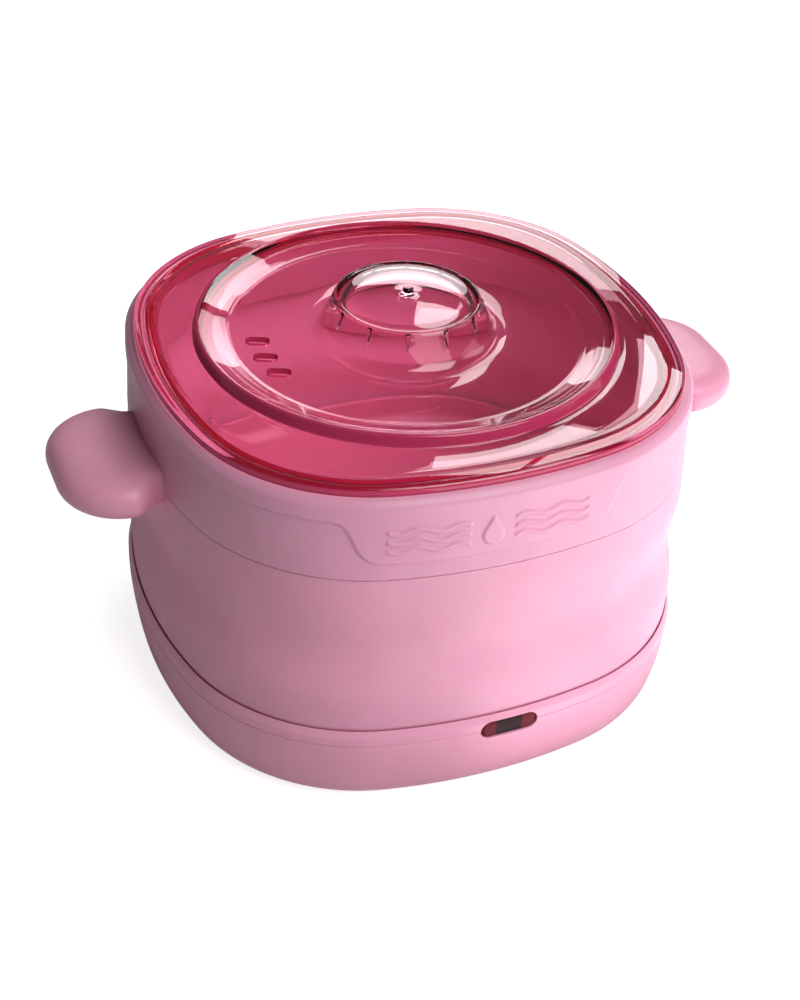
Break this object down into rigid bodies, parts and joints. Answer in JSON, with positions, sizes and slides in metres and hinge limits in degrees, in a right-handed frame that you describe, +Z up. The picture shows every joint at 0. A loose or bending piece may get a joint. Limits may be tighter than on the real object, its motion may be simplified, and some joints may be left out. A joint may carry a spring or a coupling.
{
  "type": "foldable wax warmer pot",
  "caption": "Foldable wax warmer pot: heated pan in a low base, folding silicone wall, rigid rim with ear handles, clear lift-off lid, rear heat dial.",
  "frame": {"origin": "on the surface the feet stand on, under the middle of the pot", "axes": "+Z up; -Y is the front with the badge and the indicator window; the handles lie on +X and -X; +Y is the rear with the power inlet and the heat dial"},
  "size_m": [0.228, 0.1739, 0.1336],
  "materials": {
    "silicone_collar": "satin soft-touch silicone",
    "silicone_wall": "satin soft-touch silicone",
    "silicone_handle": "satin soft-touch silicone",
    "base_plastic": "satin moulded plastic",
    "frame_plastic": "moulded plastic",
    "lid_clear": "clear rose-tinted moulding",
    "pan_coating": "pink non-stick coating",
    "lens_red": "clear dark red",
    "led_dark": "dark package",
    "foot_rubber": "matt rubber",
    "steel": "zinc plated",
    "mica": "mica sheet",
    "insulation": "ceramic fibre felt",
    "board_green": "circuit board",
    "parts_dark": "moulded packages",
    "ceramic": "glazed ceramic",
    "wire_cover": "silicone wire cover",
    "inlet_black": "moulded plastic",
    "brass": "plated contacts",
    "selector_grey": "moulded plastic",
    "dial_pink": "satin moulded plastic"
  },
  "bodies": {
    "base": {"fold_wall": "silicone_wall", "base_ring": "base_plastic", "base_shell": "base_plastic", "rubber_feet": "foot_rubber", "base_screws": "steel", "heating_pan": "pan_coating", "pan_screws": "steel", "heating_element": "mica", "insulation_disc": "insulation", "clamp_plate": "steel", "clamp_nuts": "steel", "temperature_sensor": "steel", "thermal_fuse": "ceramic", "fuse_clip": "steel", "control_board": "board_green", "board_parts": "parts_dark", "board_screws": "steel", "heater_wires": "wire_cover", "supply_wires": "wire_cover", "indicator_lens": "lens_red", "led_board": "board_green", "status_leds": "led_dark", "led_wires": "wire_cover", "power_inlet": "inlet_black", "inlet_pins": "brass", "heat_selector": "selector_grey", "selector_nut": "steel", "selector_wires": "wire_cover"},
    "rim": {"rim_collar": "silicone_collar", "rim_frame": "frame_plastic", "left_handle": "silicone_handle", "right_handle": "silicone_handle", "handle_screws": "steel"},
    "lid": {"lid": "lid_clear"},
    "dial": {"dial_shaft": "steel", "heat_dial": "dial_pink"}
  },
  "joints": [
    {"name": "wall_fold", "type": "slide", "parent": "base", "child": "rim", "axis": [0, 0, -1], "range_m": [0, 0.042], "deforming": ["fold_wall"]},
    {"name": "lid_lift", "type": "slide", "parent": "rim", "child": "lid", "axis": [0, 0, 1], "range_m": [0, 0.08]},
    {"name": "dial_turn", "type": "hinge", "parent": "base", "child": "dial", "pos_m": [0.03813, 0.07566, 0.013], "axis": [0.225, 0.9744, 0], "range_deg": [0, 270]}
  ]
}
